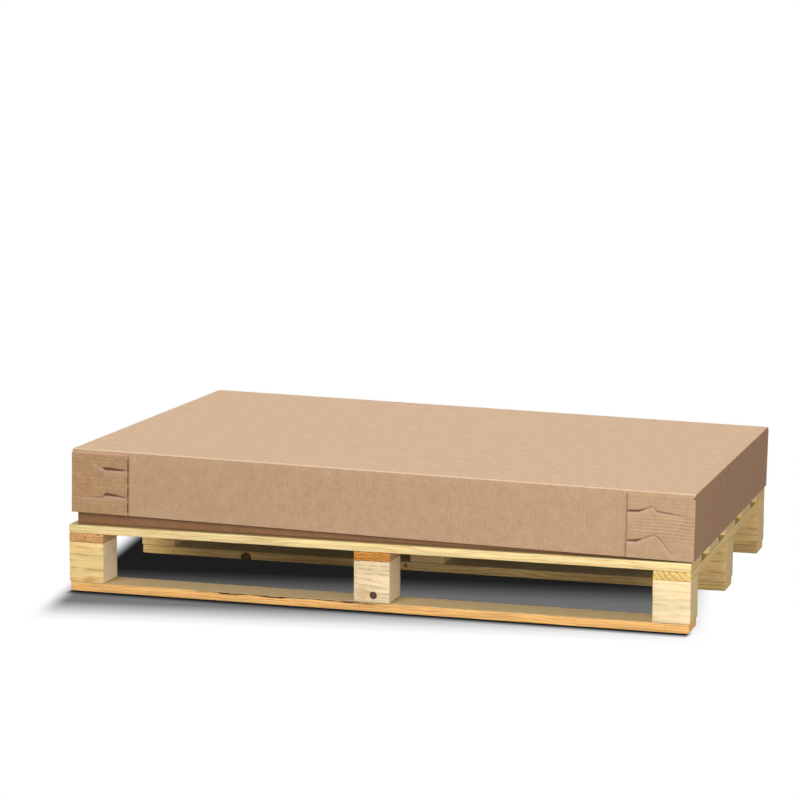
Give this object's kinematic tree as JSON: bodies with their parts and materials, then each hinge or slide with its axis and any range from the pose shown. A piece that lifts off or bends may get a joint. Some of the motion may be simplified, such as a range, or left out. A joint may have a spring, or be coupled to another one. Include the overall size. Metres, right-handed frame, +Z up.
{
  "type": "bulk pallet box",
  "caption": "Lowered bulk pallet box: light wooden block pallet with a corrugated tray, a sleeve folded flat inside it and a lift-off corrugated lid.",
  "frame": {"origin": "middle of the pallet's footprint, on the floor", "axes": "+X along the pallet's length, +Y to its back, +Z up"},
  "size_m": [1.2051, 0.802, 0.2746],
  "materials": {
    "sawn_pine": "rough-sawn pine, pale yellow",
    "block_pine": "sawn pine blocks, cream",
    "tray_card": "brown kraft corrugated board",
    "sleeve_card": "brown kraft double-wall board",
    "lid_card": "brown kraft corrugated board"
  },
  "bodies": {
    "base": {"deck_board_1": "sawn_pine", "deck_board_2": "sawn_pine", "deck_board_3": "sawn_pine", "deck_board_4": "sawn_pine", "deck_board_5": "sawn_pine", "stringer_left": "sawn_pine", "stringer_middle": "sawn_pine", "stringer_right": "sawn_pine", "block_front_left": "block_pine", "block_front_middle": "block_pine", "block_front_right": "block_pine", "block_middle_left": "block_pine", "block_middle_middle": "block_pine", "block_middle_right": "block_pine", "block_back_left": "block_pine", "block_back_middle": "block_pine", "block_back_right": "block_pine", "skid_front": "sawn_pine", "skid_middle": "sawn_pine", "skid_back": "sawn_pine", "tray": "tray_card", "sleeve": "sleeve_card"},
    "lid": {"lid": "lid_card"}
  },
  "joints": [
    {"name": "lid_lift", "type": "slide", "parent": "base", "child": "lid", "axis": [0, 0, 1], "range_m": [0, 0.3]}
  ]
}
